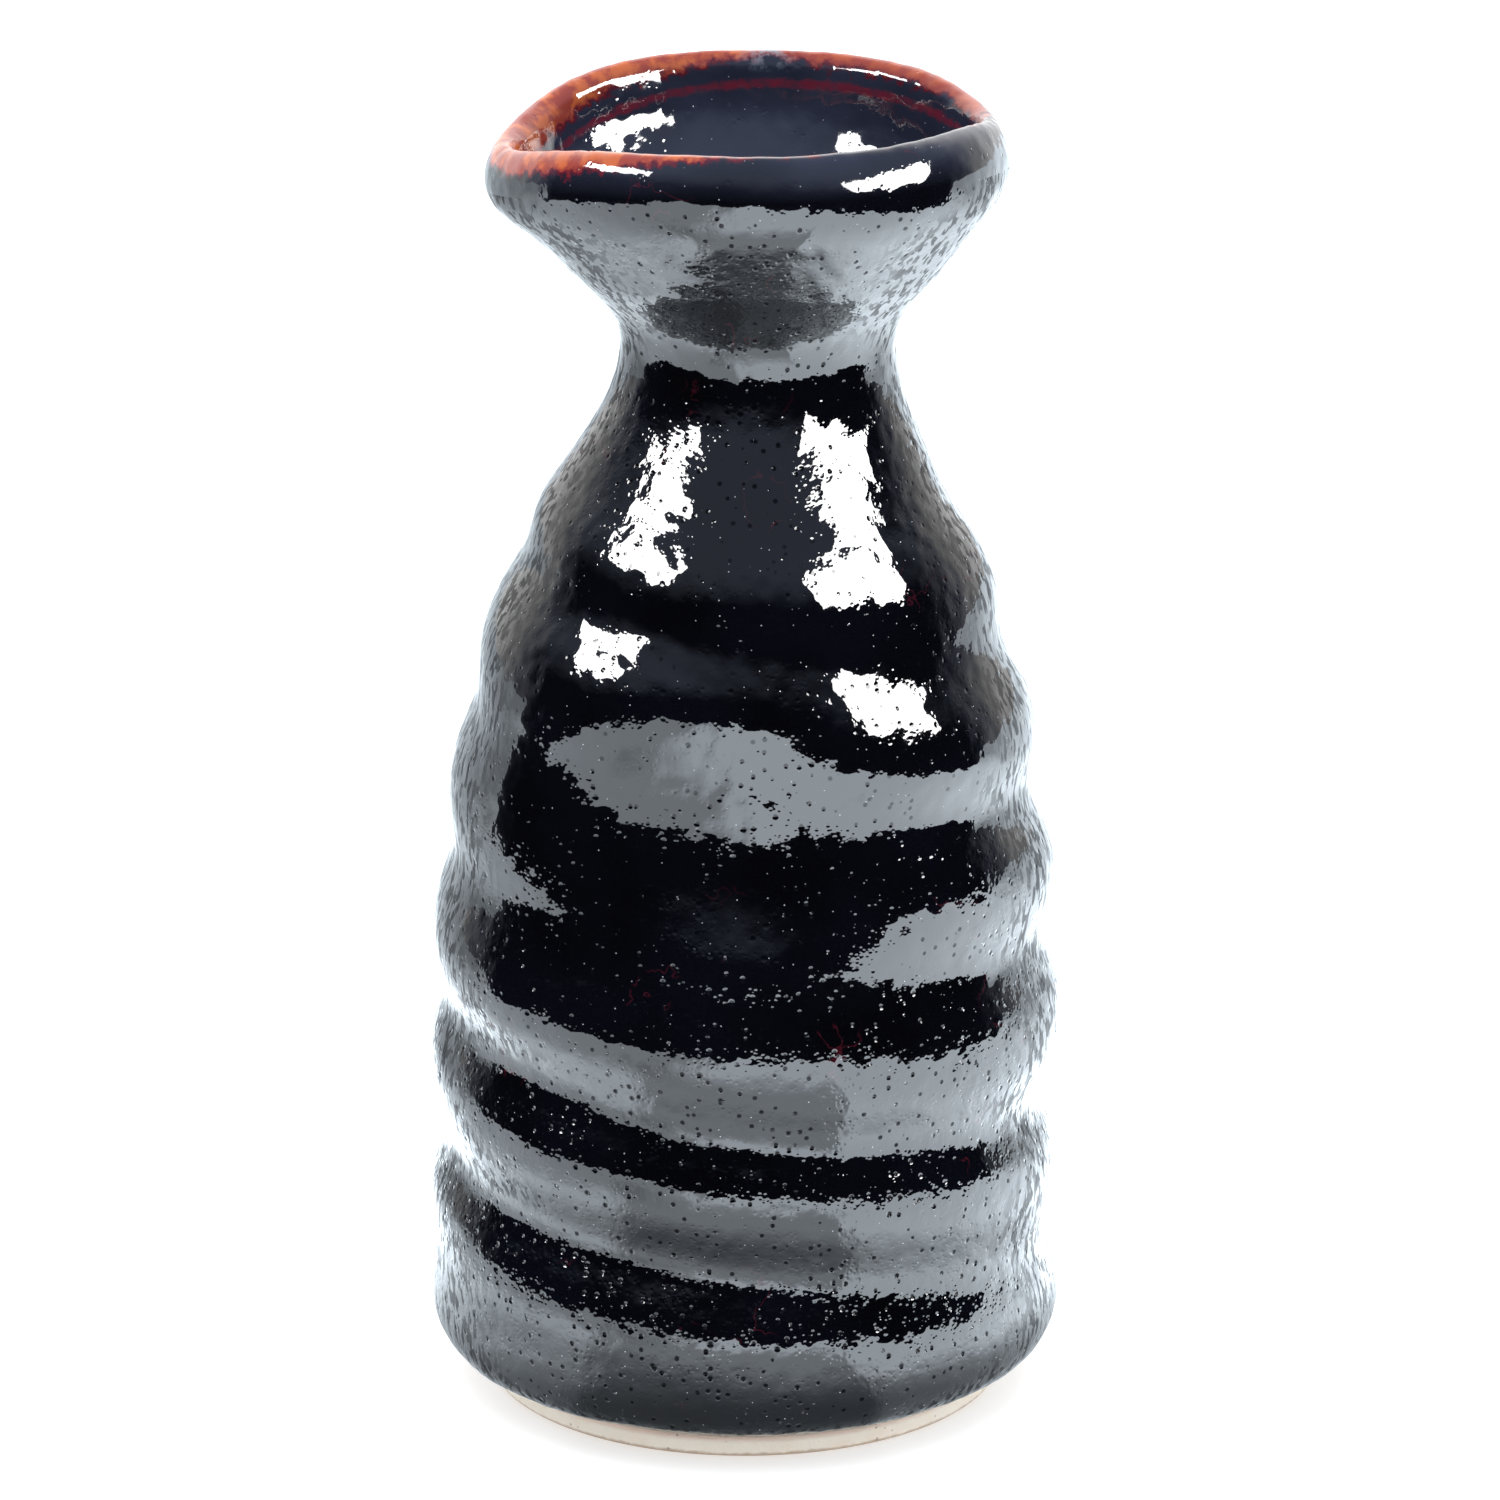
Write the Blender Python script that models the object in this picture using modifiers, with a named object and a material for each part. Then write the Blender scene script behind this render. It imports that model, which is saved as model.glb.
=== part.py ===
"""Tokkuri: a thrown stoneware sake bottle with a black glaze and a lip that breaks to iron red.

Metres, +Z up. The origin is the centre of the foot, on the table. -X is the side of the deeper
pouring corner, and -Y is the front. Angles go clockwise from +X as seen from above, so a quarter
turn is the front: that is the way the throwing spiral climbs.
"""

import math

import bpy
import numpy as np

MM = 0.001

# Turned section of the glazed surface, as (radius, height) in mm before the spiral and the pinching:
# from the floor's centre up the inside, over the lip, and down the outside to the foot.
INSIDE = [(0, 7.6), (20, 7.7), (26.6, 9.8), (29.4, 16), (28.9, 36), (27.8, 60), (24.5, 80), (19.5, 94),
          (14.2, 104), (10.9, 113), (10.9, 119), (14.0, 125.5), (18.9, 131.2), (21.7, 136.5)]
LIP = [(22.6, 140.4), (23.2, 142.5), (24.4, 143.4), (25.6, 142.9), (26.6, 141.0)]
OUTSIDE = [(26.9, 138.3), (25.8, 134.2), (20.9, 127), (15.4, 120), (15.5, 113), (19.4, 104), (24.6, 94),
           (29.4, 80), (32.6, 60), (33.7, 43), (33.6, 30), (34.1, 20), (34.7, 10), (33.4, 5.5), (31.0, 3.5),
           (28.8, 2.5)]

# Coats and the clearance that separates one piece from the next
GLAZE = 0.6 * MM
GAP = 0.3 * MM
LIP_GAP = 0.5 * MM

# Foot: a bare ring with a shallow recess inside it and a worn lower edge
FOOT_RADIUS = 28.2 * MM
FOOT_WIDTH = 5.2 * MM
FOOT_HEIGHT = 2.4 * MM
FOOT_BEVEL = 0.8 * MM

# Throwing spiral: one ridge that climbs clockwise and leans up on the -X side, and dies out towards the
# axis. RIDGES lists heights with the ridge's depth at the back and at the front (mm)
PITCH = 17 * MM
SPIRAL_START = -0.3 * MM
LEAN_LOW = (15 * MM, 2.6 * MM)
LEAN_HIGH = (80 * MM, 2.3 * MM)
RIDGES = [(1, 0, 0), (9, 0.2, 0.3), (17, 0.4, 0.6), (30, 1.0, 1.1), (45, 0.7, 0.7), (60, 0.8, 0.3),
          (74, 0.7, 0.3), (92, 0.6, 0.5), (106, 0, 0)]
VALLEY_SHARPNESS = 0.12
CALM_RADIUS = 15 * MM

# Hollows and swellings left by the fingers: turn angle, height, half angle, half height and rise
# (degrees and mm)
FINGER_MARKS = [
    (180, 23, 28, 7, 0.5), (0, 23, 28, 9, -0.5), (75, 42, 45, 9, 0.5), (77, 64, 26, 8.5, -0.8),
    (131, 64, 26, 8.5, -0.6), (50, 75, 26, 8.5, 0.7), (100, 71, 28, 10, -1.6), (142, 76, 26, 8.5, 0.6),
    (122, 88, 34, 8.5, 0.8), (90, 101, 28, 9, 1.2), (0, 87, 28, 10, 0.5), (186, 101, 28, 6.5, 0.6),
    (55, 137, 35, 5, 0.8), (130, 132, 35, 5, -0.3),
]

# Neck that sits a little off the axis
NECK_SHIFT = 1.5 * MM
NECK_HEIGHT = 118 * MM
NECK_SPREAD = 16 * MM

# Mouth: two corners pinched out and down, each as its direction, the half-width and depth of the drop in
# the lip, and the half-width and length of the pull outwards
FLARE_START = 120 * MM
FLARE_LENGTH = 18 * MM
DROP_START = 127 * MM
DROP_LENGTH = 14 * MM
POURING_CORNER = (math.radians(180), math.radians(38), 4.2 * MM, math.radians(19), 1.0 * MM)
SMALL_CORNER = (math.radians(-8), math.radians(25), 1.9 * MM, math.radians(28), 1.1 * MM)
FRONT_FLAT = 0.6 * MM

# Fineness of the turned meshes
STEPS = 32
STATION = 4.0 * MM
AXIS_MERGE = 0.00001


def smooth_step(value):
    """0 below 0, 1 above 1, and a smooth rise between."""
    value = np.clip(value, 0.0, 1.0)
    return value * value * (3.0 - 2.0 * value)


def catmull_rom(before, start, end, after, t):
    """Point at t along the smooth curve from start to end."""
    return 0.5 * (2 * start + (end - before) * t + (2 * before - 5 * start + 4 * end - after) * t ** 2
                  + (3 * start - before - 3 * end + after) * t ** 3)


def smooth_curve(points):
    """Stations about STATION apart on a smooth curve through the points."""
    padded = [2 * points[0] - points[1]] + points + [2 * points[-1] - points[-2]]
    stations = []
    for before, start, end, after in zip(padded, padded[1:], padded[2:], padded[3:]):
        count = max(1, round(float(np.linalg.norm(end - start)) / STATION))
        stations += [catmull_rom(before, start, end, after, k / count) for k in range(count)]
    return np.array(stations + [points[-1]])


def under_surface(surface, depth):
    """The surface curve moved into the clay by depth. The clay lies to the right of its direction."""
    along = np.gradient(surface, axis=0)
    along[0, 1] = 0.0
    inward = np.column_stack([along[:, 1], -along[:, 0]])
    inward /= np.linalg.norm(inward, axis=1)[:, None]
    return surface + depth * inward


def ridge_offset(turn_angle, height):
    """How far the throwing spiral moves the wall outwards."""
    lean = np.interp(height, [LEAN_LOW[0], LEAN_HIGH[0]], [LEAN_LOW[1], LEAN_HIGH[1]])
    raised = height - SPIRAL_START - lean * (1.0 - np.cos(turn_angle)) / 2.0
    phase = 2.0 * math.pi * raised / PITCH - turn_angle
    wave = -np.cos(phase) - VALLEY_SHARPNESS * np.cos(2.0 * phase)
    heights, back, front = np.array(RIDGES).T * MM
    at_back, at_front = np.interp(height, heights, back), np.interp(height, heights, front)
    return wave * (at_back + (at_front - at_back) * (1.0 + np.sin(turn_angle)) / 2.0)


def finger_marks(turn_angle, height):
    """How far the potter's fingers left the wall out, or in where negative."""
    offset = np.zeros_like(height)
    for angle, mark_height, half_angle, half_height, rise in FINGER_MARKS:
        around = ((np.degrees(turn_angle) - angle + 180.0) % 360.0 - 180.0) / half_angle
        above = (height / MM - mark_height) / half_height
        offset += rise * MM * np.exp(-around ** 2 - above ** 2)
    return offset


def corner_weight(turn_angle, direction, half_width):
    """1 at a pinched corner of the mouth, falling to 0 on both sides of it."""
    away = (turn_angle - direction + math.pi) % (2.0 * math.pi) - math.pi
    return np.exp(-(away / half_width) ** 2)


def hand_shape(points):
    """Turned points moved to where the potter's hands left them."""
    x, y, z = points.T
    turn_angle = np.arctan2(-y, x)
    radius = np.hypot(x, y)
    calm = np.clip(radius / CALM_RADIUS, 0.0, 1.0)
    flare = smooth_step((z - FLARE_START) / FLARE_LENGTH)
    drop = smooth_step((z - DROP_START) / DROP_LENGTH)

    moved_out = (ridge_offset(turn_angle, z) + finger_marks(turn_angle, z)) * calm
    moved_out = moved_out - flare * FRONT_FLAT * np.sin(turn_angle) ** 4
    moved_down = np.zeros_like(z)
    for direction, drop_width, fall, pull_width, pull in (POURING_CORNER, SMALL_CORNER):
        moved_out = moved_out + flare * pull * corner_weight(turn_angle, direction, pull_width)
        moved_down = moved_down + drop * fall * corner_weight(turn_angle, direction, drop_width)

    radius = radius + moved_out
    shift = NECK_SHIFT * np.exp(-((z - NECK_HEIGHT) / NECK_SPREAD) ** 2)
    return np.column_stack([radius * np.cos(turn_angle) + shift, -radius * np.sin(turn_angle),
                            z - moved_down])


def turned(name, section, closed, material, collection, shaped=True):
    """A piece turned from a section of (radius, height) points, then shaped by hand."""
    vertices = [(radius, 0.0, height) for radius, height in section]
    edges = [(k, k + 1) for k in range(len(vertices) - 1)]
    if closed:
        edges.append((len(vertices) - 1, 0))
    mesh = bpy.data.meshes.new(name + "_section")
    mesh.from_pydata(vertices, edges, [])
    profile = bpy.data.objects.new(name + "_section", mesh)
    collection.objects.link(profile)

    screw = profile.modifiers.new("turning", "SCREW")
    screw.axis = "Z"
    screw.angle = 2.0 * math.pi
    screw.steps = STEPS
    screw.render_steps = STEPS
    screw.use_merge_vertices = True
    screw.merge_threshold = AXIS_MERGE
    bpy.context.view_layer.update()
    evaluated = profile.evaluated_get(bpy.context.evaluated_depsgraph_get())
    body = bpy.data.meshes.new_from_object(evaluated)
    bpy.data.objects.remove(profile)
    bpy.data.meshes.remove(mesh)

    if shaped:
        points = np.empty(len(body.vertices) * 3)
        body.vertices.foreach_get("co", points)
        body.vertices.foreach_set("co", hand_shape(points.reshape(-1, 3)).ravel())
    body.name = name
    body.shade_smooth()
    body.set_sharp_from_angle(angle=math.radians(40))
    body.materials.clear()
    body.materials.append(material)
    piece = bpy.data.objects.new(name, body)
    collection.objects.link(piece)
    return piece


def finish(name, colour, roughness, metallic=0.0):
    """A Principled material of one colour."""
    material = bpy.data.materials.new(name)
    material.use_nodes = True
    shader = material.node_tree.nodes["Principled BSDF"]
    shader.inputs["Base Color"].default_value = (*colour, 1.0)
    shader.inputs["Roughness"].default_value = roughness
    shader.inputs["Metallic"].default_value = metallic
    return material


def make_foot_ring(collection):
    """The bare ring that the bottle stands on."""
    inner = FOOT_RADIUS - FOOT_WIDTH
    section = [(FOOT_RADIUS, FOOT_HEIGHT), (FOOT_RADIUS, FOOT_BEVEL), (FOOT_RADIUS - FOOT_BEVEL, 0.0),
               (inner + FOOT_BEVEL, 0.0), (inner, FOOT_BEVEL), (inner, FOOT_HEIGHT)]
    material = finish("bare_foot_clay", (0.72, 0.58, 0.47), 0.85)
    return turned("foot_ring", section, True, material, collection, shaped=False)


def make_clay_body(surface, collection):
    """The vessel itself, under the coats, with a flat base over the foot."""
    wall = under_surface(surface, GLAZE + GAP)
    base = FOOT_HEIGHT + GAP
    section = np.vstack([wall, [(FOOT_RADIUS, base), (0.0, base)]])
    return turned("clay_body", section, False, finish("stoneware", (0.62, 0.50, 0.40), 0.85), collection)


def make_coats(surface, lip_start, lip_end, collection):
    """The lining, the band over the lip and the outside coat, each its own piece."""
    under = under_surface(surface, GLAZE)

    def coat(first, last, trimmed=None):
        """Closed section of a coat along a stretch of the surface, with one end cut lower if it is named."""
        stretch = np.vstack([surface[first:last + 1], under[first:last + 1][::-1]])
        if trimmed is not None:
            stretch[trimmed, 1] -= LIP_GAP
            stretch[-1 - trimmed, 1] -= LIP_GAP
        return stretch

    black = finish("black_glaze", (0.008, 0.009, 0.014), 0.10)
    lining_black = finish("lining_black", (0.010, 0.011, 0.016), 0.10)
    iron_red = finish("iron_red", (0.45, 0.09, 0.03), 0.12)
    turned("inner_glaze", coat(0, lip_start, trimmed=lip_start), False, lining_black, collection)
    turned("rim_glaze", coat(lip_start, lip_end), True, iron_red, collection)
    turned("outer_glaze", coat(lip_end, len(surface) - 1, trimmed=0), True, black, collection)


def main():
    for leftover in list(bpy.data.objects):
        bpy.data.objects.remove(leftover)
    collection = bpy.data.collections.new("sake_bottle")
    bpy.context.scene.collection.children.link(collection)

    controls = [np.array(point) * MM for point in INSIDE + LIP + OUTSIDE]
    surface = smooth_curve(controls)
    lip_start = int(np.argmin(np.linalg.norm(surface - controls[len(INSIDE)], axis=1)))
    lip_end = int(np.argmin(np.linalg.norm(surface - controls[len(INSIDE) + len(LIP) - 1], axis=1)))

    make_foot_ring(collection)
    make_clay_body(surface, collection)
    make_coats(surface, lip_start, lip_end, collection)


main()
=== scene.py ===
"""Looks of the black-glazed tokkuri: fine surfaces, procedural glazes and a plain white studio.

Metres, +Z up, the same frame as the CAD. The outline and the hand shaping follow the CAD's, with a finer
list of ridge depths and finger marks.
"""

import math

import bpy
import numpy as np
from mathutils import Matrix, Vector, noise


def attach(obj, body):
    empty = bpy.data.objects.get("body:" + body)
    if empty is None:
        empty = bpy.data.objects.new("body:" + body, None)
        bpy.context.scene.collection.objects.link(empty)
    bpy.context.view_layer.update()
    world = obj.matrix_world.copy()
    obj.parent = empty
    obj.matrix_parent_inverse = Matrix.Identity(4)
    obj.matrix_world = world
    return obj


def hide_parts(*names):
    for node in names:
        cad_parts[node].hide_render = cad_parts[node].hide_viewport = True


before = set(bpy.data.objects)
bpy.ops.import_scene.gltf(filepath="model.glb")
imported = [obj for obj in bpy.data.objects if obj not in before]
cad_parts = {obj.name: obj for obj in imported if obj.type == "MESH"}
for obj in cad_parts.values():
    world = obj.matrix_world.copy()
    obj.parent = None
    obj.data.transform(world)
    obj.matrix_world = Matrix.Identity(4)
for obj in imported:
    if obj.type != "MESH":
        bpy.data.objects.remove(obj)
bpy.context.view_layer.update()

MM = 0.001

# ---------------------------------------------------------------- outline and hand shaping

# Outline of the glaze's surface as (radius, height) in mm, up the inside, over the lip and down
INSIDE = [(0, 7.6), (20, 7.7), (26.6, 9.8), (29.4, 16), (28.9, 36), (27.8, 60), (24.5, 80), (19.5, 94),
          (14.2, 104), (10.9, 113), (10.9, 119), (14.0, 125.5), (18.9, 131.2), (21.7, 136.5)]
LIP = [(22.6, 140.4), (23.2, 142.5), (24.4, 143.4), (25.6, 142.9), (26.6, 141.0)]
OUTSIDE = [(26.9, 138.3), (25.8, 134.2), (20.9, 127), (15.4, 120), (15.5, 113), (19.4, 104), (24.6, 94),
           (29.4, 80), (32.6, 60), (33.7, 43), (33.6, 30), (34.1, 20), (34.7, 10), (33.4, 5.5),
           (31.0, 3.7), (28.8, 2.7)]

GLAZE = 0.6 * MM
FOOT_RADIUS = 28.2 * MM
FOOT_WIDTH = 5.2 * MM
FOOT_BEVEL = 0.8 * MM
FOOT_SIDE = 1.7 * MM
FOOT_TOP = 2.75 * MM
CLAY_GAP = 0.1 * MM

# The fine rings left by turning the recess under the foot
TURNING_DEPTH = 0.05 * MM
TURNING_WIDTH = 0.35 * MM

# The throwing spiral. Its depths (mm) have a row for each height (mm), a column for each angle (degrees)
PITCH = 16.94 * MM
SPIRAL_START = -0.32 * MM
LEAN_LOW = (15 * MM, 2.61 * MM)
LEAN_HIGH = (80 * MM, 2.31 * MM)
RIDGE_HEIGHTS = [1, 9, 17, 30, 45, 60, 74, 92, 106]
RIDGE_ANGLES = [0, 45, 90, 135, 180, 270, 360]
RIDGE_DEPTHS = [
    [0, 0, 0, 0, 0, 0, 0],
    [0.1, 0.3, 0.3, 0.2, 0.2, 0.15, 0.1],
    [0.67, 0.48, 0.62, 0.83, 0.06, 0.36, 0.67],
    [1.18, 0.99, 1.2, 1.22, 0.78, 0.98, 1.18],
    [0.59, 0.43, 0.63, 1.12, 0.83, 0.71, 0.59],
    [0.9, 0.63, -0.12, 0.34, 0.64, 0.77, 0.9],
    [0.72, 0.85, -0.15, 0.18, 0.58, 0.65, 0.72],
    [0.62, 0.25, 0.43, 0.67, 0.62, 0.62, 0.62],
    [0, 0, 0, 0, 0, 0, 0],
]
VALLEY_SHARPNESS = 0.12
CALM_RADIUS = 15 * MM

# Finger marks as angle, height, half angle, half height and rise (degrees and mm)
FINGER_MARKS = [
    (2, 15.5, 28, 6.5, -0.39), (72, 16.6, 26, 8.5, -0.2), (-1, 29.9, 28, 6.5, -0.38),
    (39, 27.5, 26, 8.5, 0.14), (176, 31.4, 28, 6.5, -0.38), (181, 23.0, 28, 6.5, 0.57),
    (181, 40.3, 28, 6.5, 0.34), (2, 48.5, 28, 6.5, 0.2), (5, 41.5, 28, 6.5, 0.35),
    (39, 41.2, 26, 8.5, 0.49), (73, 40.9, 26, 8.5, 0.32), (105, 41.7, 26, 8.5, 0.38),
    (140, 40.8, 26, 8.5, -0.22), (40, 52.7, 26, 8.5, -0.34), (75, 50.4, 26, 8.5, 0.45),
    (141, 52.7, 26, 8.5, 0.28), (2, 61.5, 28, 6.5, 0.36), (77, 64.3, 26, 8.5, -0.86),
    (131, 63.6, 26, 8.5, -0.59), (1, 69.3, 28, 6.5, 0.18), (51, 75.1, 26, 8.5, 0.74),
    (88, 74.2, 26, 8.5, -0.7), (101, 73.7, 26, 8.5, -1.07), (103, 67.9, 26, 8.5, -1.0),
    (142, 76.3, 26, 8.5, 0.59), (1, 80.2, 28, 6.5, 0.43), (178, 80.8, 28, 6.5, -0.19),
    (1, 91.9, 28, 6.5, 0.54), (72, 90.2, 26, 8.5, 0.27), (112, 88.7, 26, 8.5, 0.65),
    (132, 85.9, 26, 8.5, 0.58), (177, 89.8, 28, 6.5, -0.13), (82, 99.6, 26, 8.5, 0.8),
    (141, 100.0, 26, 8.5, 0.26), (186, 101.2, 28, 6.5, 0.67), (97, 103.7, 26, 8.5, 0.96),
    (55, 136.8, 35, 5.0, 0.79), (130, 132.4, 35, 5.0, -0.33),
]

NECK_SHIFT = 1.5 * MM
NECK_HEIGHT = 118 * MM
NECK_SPREAD = 16 * MM

FLARE_START = 120 * MM
FLARE_LENGTH = 18 * MM
DROP_START = 127 * MM
DROP_LENGTH = 14 * MM
# The corners pinched in the lip, as direction, width and depth of the drop, width and depth of the pull
POURING_CORNER = (math.radians(180), math.radians(38), 4.2 * MM, math.radians(19), 1.0 * MM)
SMALL_CORNER = (math.radians(-8), math.radians(25), 1.9 * MM, math.radians(28), 1.1 * MM)
FRONT_FLAT = 0.6 * MM

# Fineness of the surfaces seen, and of the hidden ones behind them
STEPS = 360
STATION = 0.72 * MM
HIDDEN_STRIDE = 6
TURN_ANGLES = 2.0 * math.pi * np.arange(STEPS) / STEPS

# The slow swell and the small ripple of a thick glaze, as height and size
SWELL, SWELL_SIZE = 0.14 * MM, 9 * MM
RIPPLE, RIPPLE_SIZE = 0.065 * MM, 1.6 * MM
RIPPLE_PLACE = Vector((31.7, 5.3, 11.9))


def smooth_step(value):
    """0 below 0, 1 above 1, and a smooth rise between."""
    value = np.clip(value, 0.0, 1.0)
    return value * value * (3.0 - 2.0 * value)


def catmull_rom(before, start, end, after, t):
    """Point at t along the smooth curve from start to end."""
    return 0.5 * (2 * start + (end - before) * t + (2 * before - 5 * start + 4 * end - after) * t ** 2
                  + (3 * start - before - 3 * end + after) * t ** 3)


def smooth_curve(points):
    """Stations about STATION apart on a smooth curve, and the station of each point it goes through."""
    padded = [2 * points[0] - points[1]] + points + [2 * points[-1] - points[-2]]
    stations, marks = [], []
    for before, start, end, after in zip(padded, padded[1:], padded[2:], padded[3:]):
        marks.append(len(stations))
        count = max(1, round(float(np.linalg.norm(end - start)) / STATION))
        stations += [catmull_rom(before, start, end, after, k / count) for k in range(count)]
    return np.array(stations + [points[-1]]), marks


def under_surface(surface, depth):
    """The surface curve moved into the clay by depth. The clay lies to the right of its direction."""
    along = np.gradient(surface, axis=0)
    along[0, 1] = 0.0
    inward = np.column_stack([along[:, 1], -along[:, 0]])
    inward /= np.linalg.norm(inward, axis=1)[:, None]
    return surface + depth * inward


def blend_weights(value, stops):
    """Share of each stop at each value, passing smoothly from one stop to the next."""
    stops = np.array(stops, float)
    value = np.clip(value, stops[0], stops[-1])
    lower = np.clip(np.searchsorted(stops, value, side="right") - 1, 0, len(stops) - 2)
    share = smooth_step((value - stops[lower]) / (stops[lower + 1] - stops[lower]))
    weights = np.zeros((len(value), len(stops)))
    weights[np.arange(len(value)), lower] = 1.0 - share
    weights[np.arange(len(value)), lower + 1] = share
    return weights


def ridge_offset(turn_angle, height):
    """How far the throwing spiral moves the wall outwards."""
    lean = np.interp(height, [LEAN_LOW[0], LEAN_HIGH[0]], [LEAN_LOW[1], LEAN_HIGH[1]])
    raised = height - SPIRAL_START - lean * (1.0 - np.cos(turn_angle)) / 2.0
    phase = 2.0 * math.pi * raised / PITCH - turn_angle
    wave = -np.cos(phase) - VALLEY_SHARPNESS * np.cos(2.0 * phase)
    by_height = blend_weights(height / MM, RIDGE_HEIGHTS) @ np.array(RIDGE_DEPTHS)
    by_angle = blend_weights(np.degrees(turn_angle) % 360.0, RIDGE_ANGLES)
    return wave * (by_height * by_angle).sum(axis=1) * MM


def finger_marks(turn_angle, height):
    """How far the potter's fingers left the wall out, or in where negative."""
    offset = np.zeros_like(height)
    for angle, mark_height, half_angle, half_height, rise in FINGER_MARKS:
        around = ((np.degrees(turn_angle) - angle + 180.0) % 360.0 - 180.0) / half_angle
        above = (height / MM - mark_height) / half_height
        offset += rise * MM * np.exp(-around ** 2 - above ** 2)
    return offset


def corner_weight(turn_angle, direction, half_width):
    """1 in one direction, such as a pinched corner of the mouth, falling to 0 on both sides of it."""
    away = (turn_angle - direction + math.pi) % (2.0 * math.pi) - math.pi
    return np.exp(-(away / half_width) ** 2)


def hand_shape(points):
    """Turned points moved to where the potter's hands left them."""
    x, y, z = points.T
    turn_angle = np.arctan2(-y, x)
    radius = np.hypot(x, y)
    calm = np.clip(radius / CALM_RADIUS, 0.0, 1.0)
    flare = smooth_step((z - FLARE_START) / FLARE_LENGTH)
    drop = smooth_step((z - DROP_START) / DROP_LENGTH)

    moved_out = (ridge_offset(turn_angle, z) + finger_marks(turn_angle, z)) * calm
    moved_out = moved_out - flare * FRONT_FLAT * np.sin(turn_angle) ** 4
    moved_down = np.zeros_like(z)
    for direction, drop_width, fall, pull_width, pull in (POURING_CORNER, SMALL_CORNER):
        moved_out = moved_out + flare * pull * corner_weight(turn_angle, direction, pull_width)
        moved_down = moved_down + drop * fall * corner_weight(turn_angle, direction, drop_width)

    radius = radius + moved_out
    shift = NECK_SHIFT * np.exp(-((z - NECK_HEIGHT) / NECK_SPREAD) ** 2)
    return np.column_stack([radius * np.cos(turn_angle) + shift, -radius * np.sin(turn_angle),
                            z - moved_down])


def swept(section, shaped=True):
    """Rows of points, one for each point of a (radius, height) section, turned and shaped by hand."""
    radius = section[:, 0][:, None]
    points = np.stack([radius * np.cos(TURN_ANGLES), -radius * np.sin(TURN_ANGLES),
                       np.repeat(section[:, 1][:, None], STEPS, axis=1)], axis=2)
    if shaped:
        points = hand_shape(points.reshape(-1, 3))
    return points.reshape(len(section), STEPS, 3)


def glaze_curve():
    """The outline of the glaze's surface as fine stations, and the station of each listed point."""
    return smooth_curve([np.array(point) * MM for point in INSIDE + LIP + OUTSIDE])


def surface_normals(rows):
    """Outward normal at each point of a swept surface whose rows run down the outside."""
    down = np.gradient(rows, axis=0)
    around = np.roll(rows, -1, axis=1) - np.roll(rows, 1, axis=1)
    normals = np.cross(around, down)
    length = np.linalg.norm(normals, axis=2)[..., None]
    return normals / np.maximum(length, 1e-12)


# ---------------------------------------------------------------- meshes

def ring_faces(rows, closed):
    """Quads between rows of STEPS points, facing out for a section that runs down the outside."""
    count = rows if closed else rows - 1
    row = np.arange(count)[:, None]
    step = np.arange(STEPS)[None, :]
    upper = row * STEPS
    lower = ((row + 1) % rows) * STEPS
    after = (step + 1) % STEPS
    return np.stack([upper + step, upper + after, lower + after, lower + step], axis=2).reshape(-1, 4)


def solid_of_rows(name, rows, normals, closed, cad_node, material):
    """A closed body from rows of points. An open section ends on the axis at both ends."""
    vertices = rows.reshape(-1, 3)
    faces = ring_faces(len(rows), closed).tolist()
    vertex_normals = normals.reshape(-1, 3)
    if not closed:
        first, last = rows[0].mean(axis=0), rows[-1].mean(axis=0)
        count = len(vertices)
        vertices = np.vstack([vertices, first, last])
        vertex_normals = np.vstack([vertex_normals, (0, 0, 0), (0, 0, 0)])
        start = (len(rows) - 1) * STEPS
        for step in range(STEPS):
            after = (step + 1) % STEPS
            faces.append((count, after, step))
            faces.append((count + 1, start + step, start + after))
    mesh = bpy.data.meshes.new(name)
    mesh.from_pydata(vertices.tolist(), [], faces)
    mesh.update()
    mesh.shade_smooth()
    mesh.normals_split_custom_set_from_vertices(vertex_normals.tolist())
    mesh.materials.append(material)
    piece = bpy.data.objects.new(name, mesh)
    bpy.context.scene.collection.objects.link(piece)
    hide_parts(cad_node)
    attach(piece, "root")
    return piece


def add_attribute(piece, name, values):
    """A number for each vertex, which the piece's material reads."""
    attribute = piece.data.attributes.new(name, "FLOAT", "POINT")
    padded = np.zeros(len(piece.data.vertices), np.float32)
    padded[:len(values)] = values
    attribute.data.foreach_set("value", padded)


def relief(rows, normals):
    """Rows moved along their normals by the slow swell and the small ripple."""
    moved = np.empty(rows.shape[0] * STEPS)
    for k, point in enumerate(rows.reshape(-1, 3)):
        place = Vector(point)
        moved[k] = (SWELL * noise.noise(place / SWELL_SIZE)
                    + RIPPLE * noise.noise(place / RIPPLE_SIZE + RIPPLE_PLACE))
    return rows + moved.reshape(-1, STEPS, 1) * normals


# ---------------------------------------------------------------- node helpers

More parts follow.
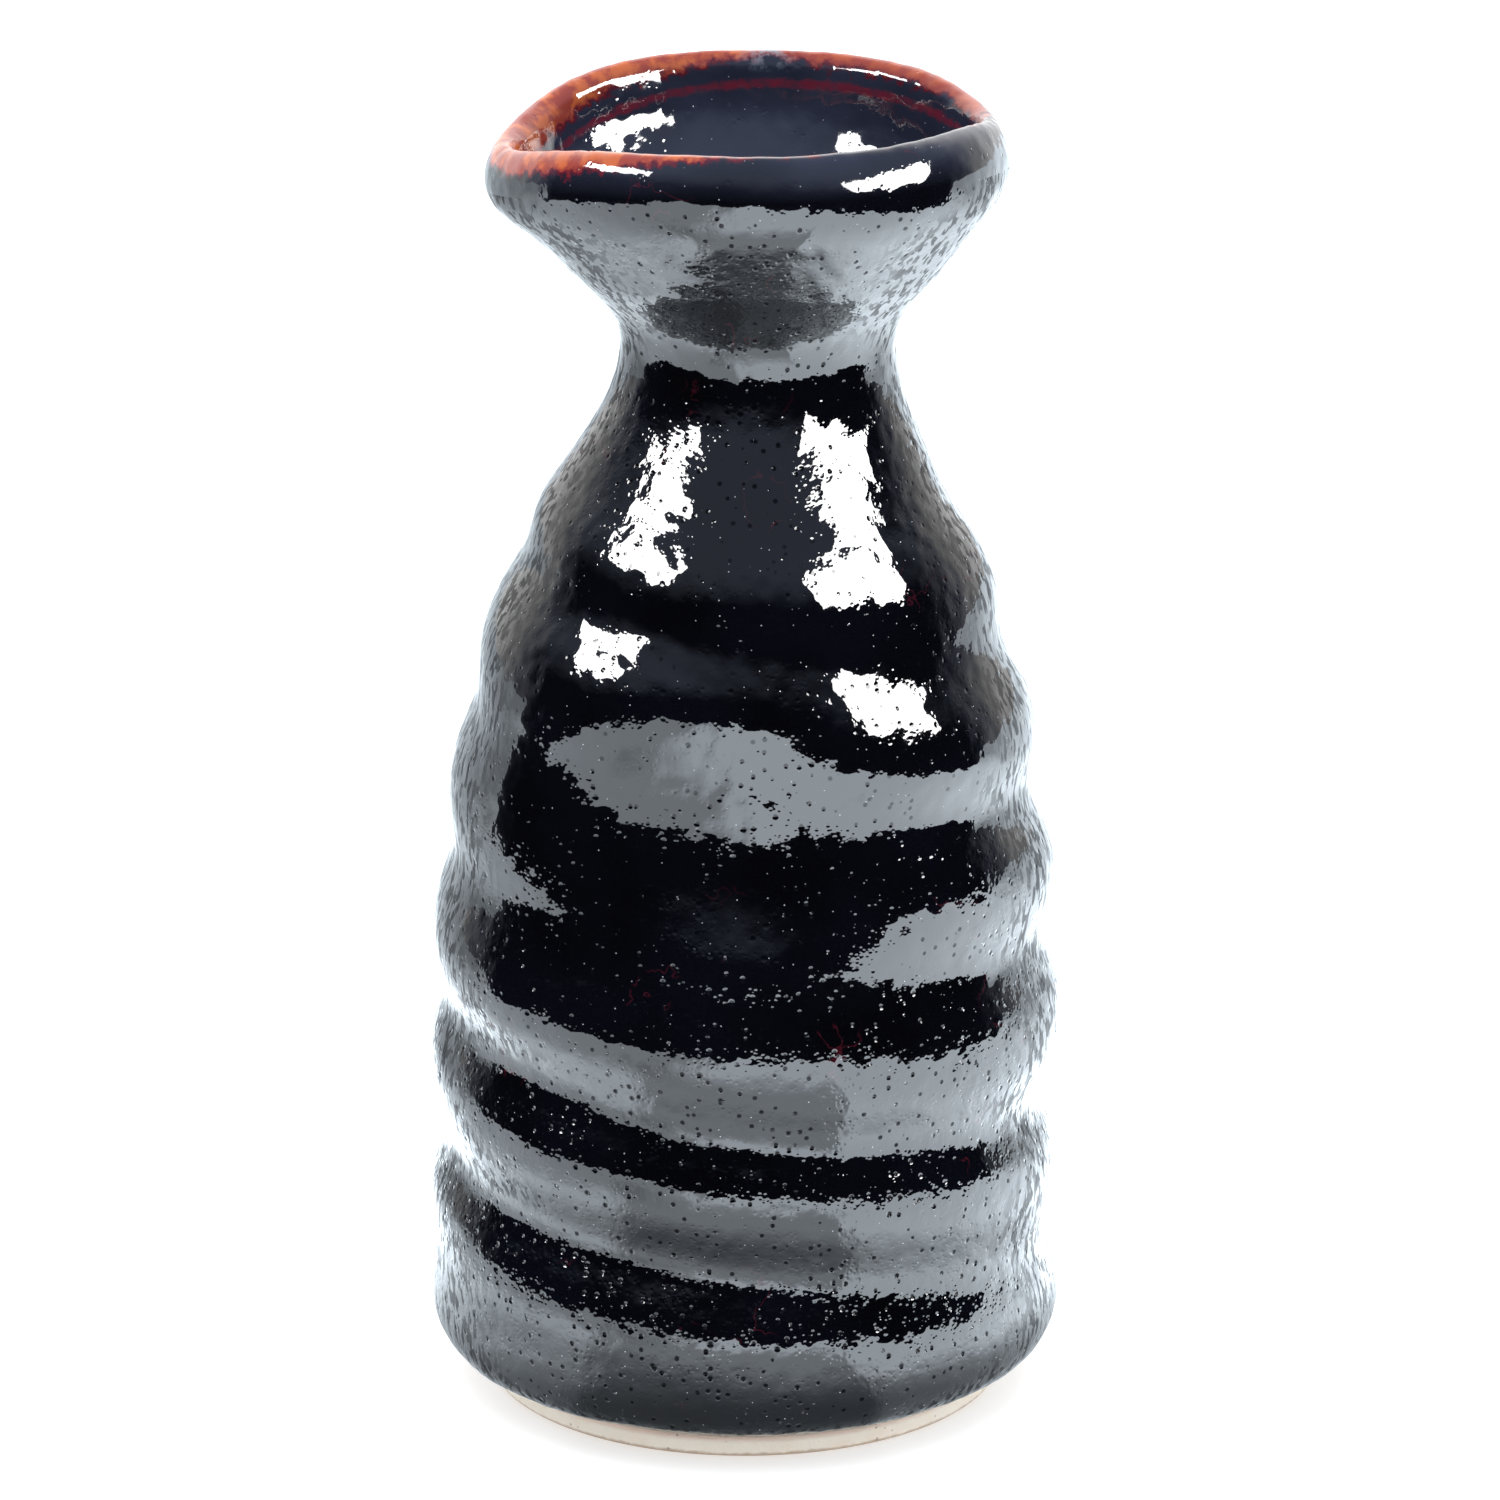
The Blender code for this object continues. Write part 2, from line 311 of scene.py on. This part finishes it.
class Graph:
    """Short calls that add nodes to a node tree and link them."""

    def __init__(self, tree, coordinates="Object"):
        self.tree = tree
        self.place = self.add("ShaderNodeTexCoord").outputs[coordinates]

    def add(self, kind, **values):
        node = self.tree.nodes.new(kind)
        for key, value in values.items():
            setattr(node, key, value)
        return node

    def link(self, value, socket):
        if isinstance(value, bpy.types.NodeSocket):
            self.tree.links.new(value, socket)
        else:
            socket.default_value = value

    def math(self, operation, first, second=0.0, third=0.0):
        node = self.add("ShaderNodeMath", operation=operation)
        for value, socket in zip((first, second, third), node.inputs):
            self.link(value, socket)
        return node.outputs[0]

    def ramp(self, value, low, high, low_out=0.0, high_out=1.0):
        """A smooth passage from low_out to high_out as value goes from low to high."""
        node = self.add("ShaderNodeMapRange", interpolation_type="SMOOTHSTEP")
        for name, number in (("Value", value), ("From Min", low), ("From Max", high),
                             ("To Min", low_out), ("To Max", high_out)):
            self.link(number, node.inputs[name])
        return node.outputs["Result"]

    def coordinate(self, axis):
        """The place's X, Y or Z."""
        node = self.add("ShaderNodeSeparateXYZ")
        self.link(self.place, node.inputs["Vector"])
        return node.outputs[axis]

    def distance(self):
        """The distance from the origin, which on the table is the distance from the bottle's axis."""
        node = self.add("ShaderNodeVectorMath", operation="LENGTH")
        self.link(self.place, node.inputs[0])
        return node.outputs["Value"]

    def mix(self, factor, first, second):
        node = self.add("ShaderNodeMix", data_type="RGBA")
        self.link(factor, node.inputs["Factor"])
        for value, socket in ((first, node.inputs[6]), (second, node.inputs[7])):
            self.link(value if isinstance(value, bpy.types.NodeSocket) else (*value, 1.0), socket)
        return node.outputs[2]


class Nodes(Graph):
    """The nodes of a new material of the bottle."""

    def __init__(self, name):
        self.material = bpy.data.materials.new(name)
        self.material.use_nodes = True
        super().__init__(self.material.node_tree)
        self.shader = self.tree.nodes["Principled BSDF"]

    def noise(self, size, detail=2.0, roughness=0.5, offset=(0.0, 0.0, 0.0), stretch=1.0):
        moved = self.add("ShaderNodeMapping")
        self.link(self.place, moved.inputs["Vector"])
        moved.inputs["Location"].default_value = offset
        moved.inputs["Scale"].default_value = (1.0, 1.0, stretch)
        node = self.add("ShaderNodeTexNoise")
        self.link(moved.outputs["Vector"], node.inputs["Vector"])
        node.inputs["Scale"].default_value = 1.0 / size
        node.inputs["Detail"].default_value = detail
        node.inputs["Roughness"].default_value = roughness
        return node.outputs["Fac"]

    def cells(self, size, offset=(0.0, 0.0, 0.0)):
        """Distance to the nearest cell's middle, in cell sizes, and a random number for each cell."""
        moved = self.add("ShaderNodeMapping")
        self.link(self.place, moved.inputs["Vector"])
        moved.inputs["Location"].default_value = offset
        node = self.add("ShaderNodeTexVoronoi")
        self.link(moved.outputs["Vector"], node.inputs["Vector"])
        node.inputs["Scale"].default_value = 1.0 / size
        split = self.add("ShaderNodeSeparateColor")
        self.link(node.outputs["Color"], split.inputs["Color"])
        return node.outputs["Distance"], split.outputs["Red"]

    def attribute(self, name):
        return self.add("ShaderNodeAttribute", attribute_name=name).outputs["Fac"]

    def bump(self, height):
        """Bends the shader's normal by a height in metres."""
        node = self.add("ShaderNodeBump")
        node.inputs["Strength"].default_value = 1.0
        node.inputs["Distance"].default_value = 1.0
        self.link(height, node.inputs["Height"])
        self.link(node.outputs["Normal"], self.shader.inputs["Normal"])


# ---------------------------------------------------------------- materials

BLACK = (0.0008, 0.0008, 0.0014)
BLUE_BLACK = (0.0016, 0.0018, 0.0036)
LIP_BLACK = (0.020, 0.024, 0.042)
LIP_BLUE = (0.036, 0.042, 0.070)
MAROON = (0.110, 0.010, 0.022)
THREAD_RED = (0.20, 0.016, 0.034)
BRICK = (0.34, 0.055, 0.035)
ORANGE = (0.60, 0.140, 0.042)
BLUE_GREY = (0.24, 0.27, 0.31)
SPECK = (0.48, 0.51, 0.56)
PALE_CLAY = (0.99, 0.92, 0.80)
BUFF_CLAY = (0.97, 0.87, 0.73)
PINK_LINE = (0.95, 0.74, 0.62)
WORN_EDGE = (0.42, 0.30, 0.21)
SAND = (0.22, 0.15, 0.10)

PIT_SPACING = 1.2 * MM
PIT_DEPTH = 0.066 * MM
FINE_PIT_SPACING = 0.62 * MM
FINE_PIT_DEPTH = 0.012 * MM
PEEL_SPACING = 1.25 * MM
PEEL_DEPTH = 0.042 * MM
SPECK_SPACING = 0.85 * MM
GLAZE_IOR = 1.52
SPECULAR = 0.5


def glaze_black(nodes, inner=None):
    """Near black with a blue cast, rare maroon veins and fine pale specks, paler inside the mouth."""
    cloud = nodes.ramp(nodes.noise(14 * MM), 0.35, 0.7)
    colour = nodes.mix(cloud, BLACK, BLUE_BLACK)
    if inner is not None:
        colour = nodes.mix(inner, colour, nodes.mix(cloud, LIP_BLACK, LIP_BLUE))
    flow = nodes.noise(5 * MM, detail=3.0, offset=(0.2, 0.7, 0.5))
    off_vein = nodes.math("ABSOLUTE", nodes.math("SUBTRACT", flow, 0.5))
    vein = nodes.ramp(off_vein, 0.003, 0.010, 0.28, 0.0)
    rare = nodes.ramp(nodes.noise(13 * MM, offset=(0.8, 0.2, 0.9)), 0.60, 0.66)
    colour = nodes.mix(nodes.math("MULTIPLY", vein, rare), colour, MAROON)
    distance, pick = nodes.cells(SPECK_SPACING, offset=(0.3, 0.1, 0.7))
    near = nodes.ramp(distance, 0.05, 0.11, 1.0, 0.0)
    chosen = nodes.ramp(pick, 0.55, 0.75)
    return nodes.mix(nodes.math("MULTIPLY", near, nodes.math("MULTIPLY", chosen, 0.8)), colour, SPECK)


def orange_peel(nodes, amount=1.0):
    """The pits and slow swell of the glossy skin, as a height in metres."""
    distance, pick = nodes.cells(PIT_SPACING)
    size = nodes.ramp(pick, 0.0, 1.0, 0.20, 0.38)
    pit = nodes.ramp(nodes.math("DIVIDE", distance, size), 0.0, 1.0, 1.0, 0.0)
    sign = nodes.ramp(nodes.noise(2.3 * MM, offset=(0.5, 0.2, 0.1)), 0.36, 0.52, -0.4, 1.0)
    fine, _ = nodes.cells(FINE_PIT_SPACING, offset=(0.2, 0.6, 0.4))
    fine_pit = nodes.ramp(fine, 0.0, 0.45, 1.0, 0.0)
    height = nodes.math("MULTIPLY", nodes.math("MULTIPLY", pit, sign), -PIT_DEPTH * amount)
    height = nodes.math("ADD", height, nodes.math("MULTIPLY", fine_pit, -FINE_PIT_DEPTH * amount))
    peel = nodes.noise(PEEL_SPACING, detail=1.0, offset=(0.7, 0.1, 0.4))
    height = nodes.math("ADD", height, nodes.math("MULTIPLY", peel, PEEL_DEPTH * amount))
    calm = nodes.ramp(nodes.noise(7 * MM, detail=1.0, offset=(0.9, 0.4, 0.6)), 0.38, 0.62, 0.45, 1.0)
    up = nodes.coordinate("Z")
    rough_foot = nodes.ramp(up, 15 * MM, 85 * MM, 2.3, 0.7)
    rough_neck = nodes.ramp(up, 98 * MM, 112 * MM, 0.0, 0.6)
    calm = nodes.math("MULTIPLY", calm, nodes.math("ADD", rough_foot, rough_neck))
    return nodes.math("MULTIPLY", height, calm)


def pinholes(nodes):
    """Weaker mirroring in the cores of some pits, and in slivers where the skin is seen edge on."""
    distance, pick = nodes.cells(PIT_SPACING)
    up = nodes.coordinate("Z")
    low = nodes.ramp(up, 30 * MM, 80 * MM, 0.85, 0.45)
    neck = nodes.ramp(up, 98 * MM, 108 * MM, 0.0, 0.35)
    core = nodes.ramp(distance, 0.19, 0.25, 1.0, 0.0)
    core = nodes.math("MULTIPLY", core, nodes.ramp(pick, 0.40, 0.45))
    core = nodes.math("MULTIPLY", core, nodes.math("ADD", low, neck))
    facing = nodes.add("ShaderNodeLayerWeight").outputs["Facing"]
    streak = nodes.noise(0.85 * MM, detail=1.5, offset=(0.6, 0.8, 0.3), stretch=0.38)
    sliver = nodes.ramp(streak, 0.49, 0.55)
    sliver = nodes.math("MULTIPLY", sliver, nodes.ramp(facing, 0.42, 0.66, 0.0, 0.9))
    dull = nodes.math("MAXIMUM", core, sliver)
    nodes.link(nodes.math("MULTIPLY", nodes.math("SUBTRACT", 1.0, dull), SPECULAR),
               nodes.shader.inputs["Specular IOR Level"])


def glossy(nodes, roughness):
    nodes.shader.inputs["Roughness"].default_value = roughness
    nodes.shader.inputs["IOR"].default_value = GLAZE_IOR


def black_glaze_material():
    nodes = Nodes("black_glaze")
    nodes.link(glaze_black(nodes), nodes.shader.inputs["Base Color"])
    glossy(nodes, 0.035)
    pinholes(nodes)
    nodes.bump(orange_peel(nodes))
    return nodes.material


def lip_glaze_material():
    """Black that breaks to maroon, brick and orange where the "thin" attribute is above 0 (mm)."""
    nodes = Nodes("iron_red_glaze")
    ragged = nodes.math("SUBTRACT", nodes.noise(1.3 * MM, detail=5.0, roughness=0.62), 0.5)
    streaks = nodes.math("SUBTRACT", nodes.noise(3.5 * MM, detail=3.0, offset=(0.4, 0.9, 0.2)), 0.5)
    thin = nodes.math("ADD", nodes.attribute("thin"), nodes.math("MULTIPLY", ragged, 3.4))
    thin = nodes.math("ADD", thin, nodes.math("MULTIPLY", streaks, 1.4))
    thick = glaze_black(nodes, nodes.attribute("inner"))
    colour = nodes.mix(nodes.ramp(thin, -0.35, 0.25), thick, MAROON)
    colour = nodes.mix(nodes.ramp(thin, 0.1, 0.75), colour, BRICK)
    glow = nodes.ramp(nodes.noise(2.2 * MM, detail=4.0, offset=(0.1, 0.3, 0.8)), 0.42, 0.62)
    glow = nodes.math("MULTIPLY", glow, nodes.attribute("warm"))
    colour = nodes.mix(nodes.math("MULTIPLY", nodes.ramp(thin, 0.5, 1.3), glow), colour, ORANGE)
    cool = nodes.math("MULTIPLY", nodes.attribute("cool"), nodes.ramp(ragged, -0.08, 0.12))
    colour = nodes.mix(cool, colour, BLUE_GREY)
    thread = nodes.math("ADD", nodes.attribute("thread"), nodes.math("MULTIPLY", ragged, 1.2))
    colour = nodes.mix(nodes.math("MULTIPLY", nodes.ramp(thread, 0.45, 1.0), 0.8), colour, THREAD_RED)
    nodes.link(colour, nodes.shader.inputs["Base Color"])
    glossy(nodes, 0.05)
    nodes.bump(orange_peel(nodes, amount=0.35))
    return nodes.material


def bare_clay_material():
    """Pale buff stoneware with fine sand, a tan worn lower edge and a pinkish line under the glaze."""
    nodes = Nodes("bare_foot_clay")
    up = nodes.coordinate("Z")
    patch = nodes.ramp(nodes.noise(3.0 * MM, detail=4.0), 0.35, 0.7)
    colour = nodes.mix(patch, PALE_CLAY, BUFF_CLAY)
    colour = nodes.mix(nodes.ramp(up, 1.6 * MM, 2.5 * MM), colour, PINK_LINE)
    worn = nodes.math("ADD", up, nodes.math("MULTIPLY", nodes.noise(1.0 * MM), 0.5 * MM))
    colour = nodes.mix(nodes.ramp(worn, 0.50 * MM, 1.05 * MM, 0.85, 0.0), colour, WORN_EDGE)
    distance, pick = nodes.cells(0.9 * MM)
    grain = nodes.ramp(distance, 0.08, 0.2, 1.0, 0.0)
    grain = nodes.math("MULTIPLY", grain, nodes.ramp(pick, 0.7, 0.8))
    colour = nodes.mix(nodes.math("MULTIPLY", grain, 0.6), colour, SAND)
    nodes.link(colour, nodes.shader.inputs["Base Color"])
    nodes.shader.inputs["Roughness"].default_value = 0.85
    nodes.bump(nodes.math("MULTIPLY", nodes.noise(0.35 * MM, detail=4.0, roughness=0.65), 0.06 * MM))
    return nodes.material


# ---------------------------------------------------------------- pieces

# The lip by turn angle (degrees): how far down the outside and the inside its glaze is thin (mm)
LIP_ANGLES = [0, 45, 85, 105, 135, 160, 180, 210, 250, 268, 276, 290, 320, 345]
THIN_OUTSIDE = [0.2, -0.3, 0.25, 1.5, 3.3, 3.5, 2.4, 3.2, 3.4, 3.2, 3.0, 3.2, 2.8, 1.2]
THIN_INSIDE = [0.8, 0.2, 0.0, 0.8, 2.0, 3.6, 4.4, 3.8, 2.8, 1.6, 0.8, 2.0, 2.2, 1.6]
# How warm the thin glaze is, by turn angle (degrees)
WARM_ANGLES = [0, 40, 150, 200, 268, 285, 340]
WARMTH = [0.4, 0.9, 0.9, 1.0, 1.0, 0.45, 0.35]
COOL_ANGLE = math.radians(276)
COOL_WIDTH = math.radians(6)
THREAD_BELOW = 2.1
THREAD_WIDTH = 0.75


def by_angle(degrees, angles, values):
    """The value at each angle, from values listed around the full turn."""
    return np.interp(degrees, angles, values, period=360.0)


def lip_attributes(piece, along, angles):
    """How thin the lip's glaze is, where it turns blue grey, and where a maroon thread runs inside.

    along is the distance (mm) from the top of the lip, positive down the outside.
    """
    degrees = np.degrees(angles) % 360.0
    outside = by_angle(degrees, LIP_ANGLES, THIN_OUTSIDE)
    inside = by_angle(degrees, LIP_ANGLES, THIN_INSIDE)
    add_attribute(piece, "thin", np.minimum(outside - along, along + inside))
    add_attribute(piece, "warm", by_angle(degrees, WARM_ANGLES, WARMTH))
    add_attribute(piece, "inner", np.interp(along, [-1.0, 5.5], [1.0, 0.0]))
    on_top = np.clip(1.6 - np.abs(along + 0.2) / 1.6, 0, 1)
    add_attribute(piece, "cool", corner_weight(angles, COOL_ANGLE, COOL_WIDTH) * on_top)
    nearby = [by_angle(degrees + turn, LIP_ANGLES, THIN_INSIDE) for turn in range(-30, 31, 5)]
    depth = along + np.mean(nearby, axis=0) + THREAD_BELOW
    add_attribute(piece, "thread", np.exp(-(depth / THREAD_WIDTH) ** 2))


def make_glazes():
    """The lining, the band over the lip and the outer coat, each closed by a coarser hidden surface."""
    curve, marks = glaze_curve()
    lip_start = marks[len(INSIDE) - 2]
    lip_end = marks[len(INSIDE) + len(LIP)]
    apex = marks[len(INSIDE) + 2]

    rows = swept(curve)
    rows = relief(rows, surface_normals(rows))
    normals = surface_normals(rows)
    hidden = swept(under_surface(curve, GLAZE))
    length = np.concatenate([[0.0], np.cumsum(np.linalg.norm(np.diff(curve, axis=0), axis=1))])
    along = (length - length[apex]) / MM

    def coat(name, first, last, closed, material):
        back = list(range(last, first, -HIDDEN_STRIDE)) + [first]
        if not closed:
            back = back[:-1] + [1]
            first = 1
        body_rows = np.concatenate([rows[first:last + 1], hidden[back]])
        body_normals = np.concatenate([normals[first:last + 1], np.zeros((len(back), STEPS, 3))])
        cad_node = name.replace("_coat", "")
        piece = solid_of_rows(name, body_rows, body_normals, closed, cad_node, material)
        lip_attributes(piece, np.repeat(np.concatenate([along[first:last + 1], along[back]]), STEPS),
                       np.tile(TURN_ANGLES, len(body_rows)))

    lip = lip_glaze_material()
    coat("inner_glaze_coat", 0, lip_start, False, lip)
    coat("rim_glaze_coat", lip_start, lip_end, True, lip)
    coat("outer_glaze_coat", lip_end, len(curve) - 1, True, black_glaze_material())


def make_clay():
    """The foot ring and the vessel's clay, whose base shows only from below."""
    material = bare_clay_material()
    inner = FOOT_RADIUS - FOOT_WIDTH
    bevel = [(math.sin(a), math.cos(a)) for a in np.linspace(0, math.pi / 2, 7)]
    outer_edge = [(FOOT_RADIUS - FOOT_BEVEL + FOOT_BEVEL * c, FOOT_BEVEL - FOOT_BEVEL * s)
                  for s, c in bevel]
    inner_edge = [(inner + FOOT_BEVEL - FOOT_BEVEL * s, FOOT_BEVEL - FOOT_BEVEL * c) for s, c in bevel]
    section = np.array([(FOOT_RADIUS, FOOT_TOP), (FOOT_RADIUS, FOOT_SIDE)] + outer_edge + inner_edge
                       + [(inner, FOOT_TOP)])
    rows = swept(section, shaped=False)
    solid_of_rows("foot_ring_clay", rows, np.zeros(rows.shape), True,
                  "foot_ring", material)

    curve, _ = glaze_curve()
    wall = under_surface(curve, GLAZE + CLAY_GAP)[1::HIDDEN_STRIDE]
    base = np.linspace(FOOT_RADIUS - CLAY_GAP, 0.4 * MM, 40)
    dish = np.array([(radius, FOOT_TOP + TURNING_DEPTH * math.sin(radius / TURNING_WIDTH))
                     for radius in base])
    rows = swept(np.vstack([wall, dish]))
    solid_of_rows("clay_body_wall", rows, np.zeros(rows.shape), False,
                  "clay_body", material)


# ---------------------------------------------------------------- studio

CAMERA_DISTANCE = 0.880
CAMERA_HEIGHT = 0.358
CAMERA_PITCH = math.radians(18.05)
CAMERA_LENS = 204.7
CAMERA_SIDE = 0.00055

# Softboxes as azimuth from the camera's side, elevation, half width and half height (degrees)
LEFT_BOX = (-69.8, 33.8, 18.5, 5.0)
RIGHT_BOX = (66.5, 26.0, 23.5, 8.5)
BOX_RADIANCE = 30.0
BOX_DISTANCE = 1.0
BOX_TARGET = Vector((0.0, 0.0, 0.08))

# The lit table as the glaze mirrors it: a tongue that reaches to the front, and a wide part behind
TABLE_RADIANCE = 6.8
TABLE_COLOUR = (0.88, 0.98, 1.06)
TABLE_FRONT = 0.52
TABLE_LEFT = 0.275
TABLE_RIGHT = 0.336
TABLE_WIDE = 1.5
TABLE_LIFT = 0.0004
NEAR_SHADE = 0.13

FLOOR_COLOUR = (0.50, 0.495, 0.48)
FLOOR_GLOW = (1.0, 0.985, 0.965)
FLOOR_SIDE = 4
BACKDROP = 1.3
WHITE = (1.0, 1.0, 1.0)
OVERHEAD_TINT = (0.80, 0.92, 1.22)
FILL_STRENGTH = 3.0
FILL_ANGLE = math.radians(120)


def emitter(name):
    """A material that only shines, as the material, its nodes and its emission node."""
    material = bpy.data.materials.new(name)
    material.use_nodes = True
    graph = Graph(material.node_tree)
    graph.tree.nodes.remove(graph.tree.nodes["Principled BSDF"])
    shine = graph.add("ShaderNodeEmission")
    graph.link(shine.outputs["Emission"], graph.tree.nodes["Material Output"].inputs["Surface"])
    return material, graph, shine


def flat_card(name, corners, material):
    """A flat object of the studio."""
    mesh = bpy.data.meshes.new(name)
    mesh.from_pydata(corners, [], [tuple(range(len(corners)))])
    mesh.materials.append(material)
    item = bpy.data.objects.new(name, mesh)
    bpy.context.scene.collection.objects.link(item)
    return item


def mirrored_card(name, corners, material):
    """A flat card that shows only in the glaze's reflections."""
    item = flat_card(name, corners, material)
    item.visible_camera = False
    item.visible_diffuse = False
    item.visible_shadow = False
    item.visible_transmission = False


def softbox(name, azimuth, elevation, half_width, half_height):
    """A bright card that faces the bottle."""
    azimuth, elevation = math.radians(azimuth), math.radians(elevation)
    outward = Vector((math.sin(azimuth) * math.cos(elevation), -math.cos(azimuth) * math.cos(elevation),
                      math.sin(elevation)))
    side = Vector((math.cos(azimuth), math.sin(azimuth), 0.0))
    rise = outward.cross(side)
    width = math.tan(math.radians(half_width)) * math.cos(elevation)
    height = math.tan(math.radians(half_height))
    middle = BOX_TARGET + outward * BOX_DISTANCE
    corners = [middle + BOX_DISTANCE * (a * width * side + b * height * rise)
               for a, b in ((-1, -1), (1, -1), (1, 1), (-1, 1))]
    material, _, shine = emitter(name + "_light")
    shine.inputs["Strength"].default_value = BOX_RADIANCE
    mirrored_card(name, corners, material)


def make_table_glow():
    """Bright, shaded close to the foot, in a sector in front, far to the left and behind."""
    material, graph, shine = emitter("table_glow")
    graph.link((*TABLE_COLOUR, 1.0), shine.inputs["Color"])
    x, y = graph.coordinate("X"), graph.coordinate("Y")
    turn = graph.math("ARCTAN2", x, graph.math("MULTIPLY", y, -1.0))
    near = graph.ramp(graph.distance(), 0.034, 0.076, NEAR_SHADE * TABLE_RADIANCE, TABLE_RADIANCE)
    right_of = graph.ramp(turn, math.radians(27), math.radians(32), 1.0, 0.0)
    left_of = graph.ramp(turn, math.radians(-46), math.radians(-34), 0.0, 1.0)
    reach = graph.ramp(y, -0.19, -0.085, 0.0, 0.53)
    sector = graph.math("MULTIPLY", graph.math("MULTIPLY", right_of, left_of), reach)
    lit = graph.math("SUBTRACT", 1.0, sector)
    far_left = graph.ramp(x, -0.10, -0.03, 0.52, 1.0)
    behind = graph.ramp(y, -0.03, 0.20, 1.0, 0.4)
    shade = graph.math("MULTIPLY", graph.math("MULTIPLY", lit, far_left), behind)
    graph.link(graph.math("MULTIPLY", near, shade), shine.inputs["Strength"])
    outline = [(-TABLE_LEFT, -TABLE_FRONT), (TABLE_RIGHT, -TABLE_FRONT), (TABLE_RIGHT, 0.05),
               (TABLE_WIDE, 0.4), (TABLE_WIDE, 2.0), (-TABLE_WIDE, 2.0), (-TABLE_WIDE, 0.4),
               (-TABLE_LEFT, 0.05)]
    mirrored_card("table_glow", [(*corner, TABLE_LIFT) for corner in outline], material)


def make_floor():
    """A pale floor that the glaze doesn't mirror, with a faint painted shadow around the foot."""
    material = bpy.data.materials.new("floor_white")
    material.use_nodes = True
    graph = Graph(material.node_tree)
    shader = graph.tree.nodes["Principled BSDF"]
    graph.link((*FLOOR_COLOUR, 1.0), shader.inputs["Base Color"])
    graph.link(0.6, shader.inputs["Roughness"])
    graph.link((*FLOOR_GLOW, 1.0), shader.inputs["Emission Color"])
    # Painted shadow: the floor's glow is weaker close to the foot.
    glow = graph.ramp(graph.distance(), 0.028, 0.044, 0.58, 1.15)
    graph.link(glow, shader.inputs["Emission Strength"])
    corners = [(FLOOR_SIDE * a, FLOOR_SIDE * b, 0) for a, b in ((-1, -1), (1, -1), (1, 1), (-1, 1))]
    flat_card("floor", corners, material).visible_glossy = False


def make_world():
    """White to the camera. In reflections dark in front, dim overhead, and bright behind."""
    world = bpy.data.worlds.new("studio")
    bpy.context.scene.world = world
    world.use_nodes = True
    graph = Graph(world.node_tree, "Generated")
    background = graph.tree.nodes["Background"]
    behind = graph.ramp(graph.coordinate("Y"), 0.10, 0.85, 0.0, 1.7)
    up = graph.coordinate("Z")
    low = graph.ramp(up, 0.62, 0.95, 1.0, 0.0)
    above = graph.ramp(up, 0.22, 0.62, 0.02, 0.55)
    seen = graph.add("ShaderNodeMix")
    graph.link(graph.add("ShaderNodeLightPath").outputs["Is Camera Ray"], seen.inputs["Factor"])
    graph.link(graph.math("MULTIPLY_ADD", behind, low, above), seen.inputs[2])
    graph.link(BACKDROP, seen.inputs[3])
    graph.link(graph.mix(behind, OVERHEAD_TINT, WHITE), background.inputs["Color"])
    graph.link(seen.outputs[0], background.inputs["Strength"])


def make_fill():
    """A soft light from above, which the glaze doesn't mirror."""
    light = bpy.data.lights.new("top_fill", "SUN")
    light.energy = FILL_STRENGTH
    light.angle = FILL_ANGLE
    lamp = bpy.data.objects.new("top_fill", light)
    bpy.context.scene.collection.objects.link(lamp)
    lamp.visible_glossy = False


def make_studio():
    make_floor()
    make_table_glow()
    softbox("softbox_left", *LEFT_BOX)
    softbox("softbox_right", *RIGHT_BOX)
    make_fill()
    make_world()


def make_camera():
    data = bpy.data.cameras.new("camera")
    data.lens = CAMERA_LENS
    data.sensor_width = 36.0
    data.clip_end = 50.0
    camera = bpy.data.objects.new("camera", data)
    bpy.context.scene.collection.objects.link(camera)
    camera.location = (CAMERA_SIDE, -CAMERA_DISTANCE, CAMERA_HEIGHT)
    camera.rotation_euler = (math.pi / 2 - CAMERA_PITCH, 0.0, 0.0)
    bpy.context.scene.camera = camera


make_glazes()
make_clay()
make_studio()
make_camera()
bpy.context.scene.view_settings.view_transform = "Standard"


def corners(box):
    return [[float(number) for number in corner] for corner in box]
